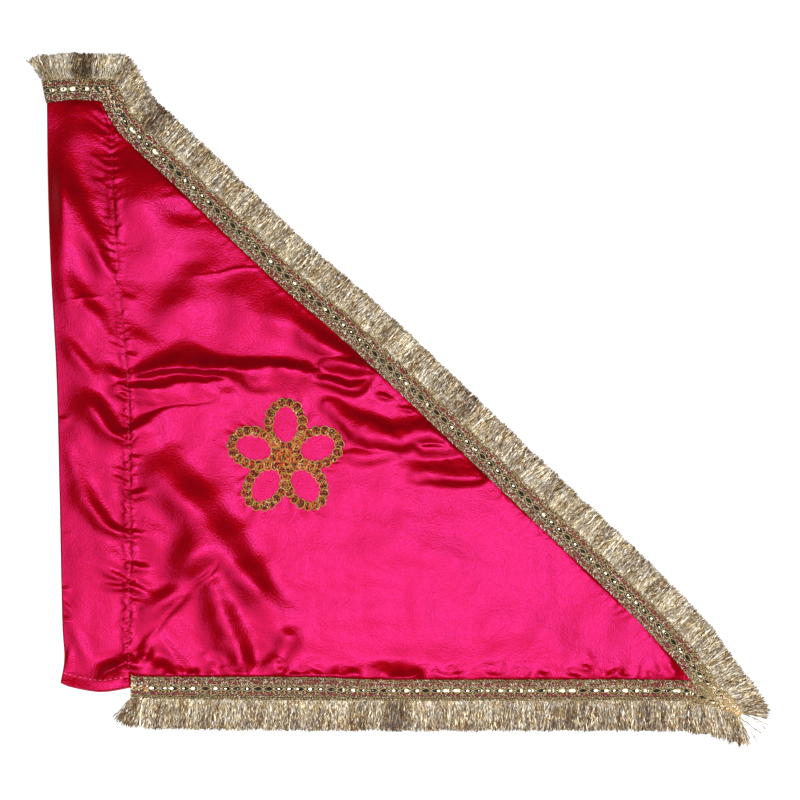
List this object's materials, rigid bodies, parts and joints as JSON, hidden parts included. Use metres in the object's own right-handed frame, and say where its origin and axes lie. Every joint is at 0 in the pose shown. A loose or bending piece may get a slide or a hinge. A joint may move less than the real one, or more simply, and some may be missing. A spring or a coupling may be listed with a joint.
{
  "type": "temple flag",
  "caption": "Triangular satin flag lying flat, with a pole sleeve down one side, gold fringed trim on its edges and a flower of chain braid.",
  "frame": {"origin": "centre of the flag's box on the plane that it lies on", "axes": "+Z off the surface, towards the face that carries the flower; +Y up the pole sleeve towards its closed end; +X away from the sleeve towards the flag's tip"},
  "size_m": [0.5132, 0.4863, 0.0091],
  "materials": {
    "satin": "glossy polyester satin, bright pink",
    "trim": "woven metallic gold yarn with a loose cut fringe",
    "braid": "gold cord chain braid over a red core"
  },
  "bodies": {
    "root": {"satin_panel": "satin", "pole_sleeve": "satin", "top_trim": "trim", "slant_trim": "trim", "bottom_trim": "trim", "braid_flower": "braid"}
  },
  "joints": []
}
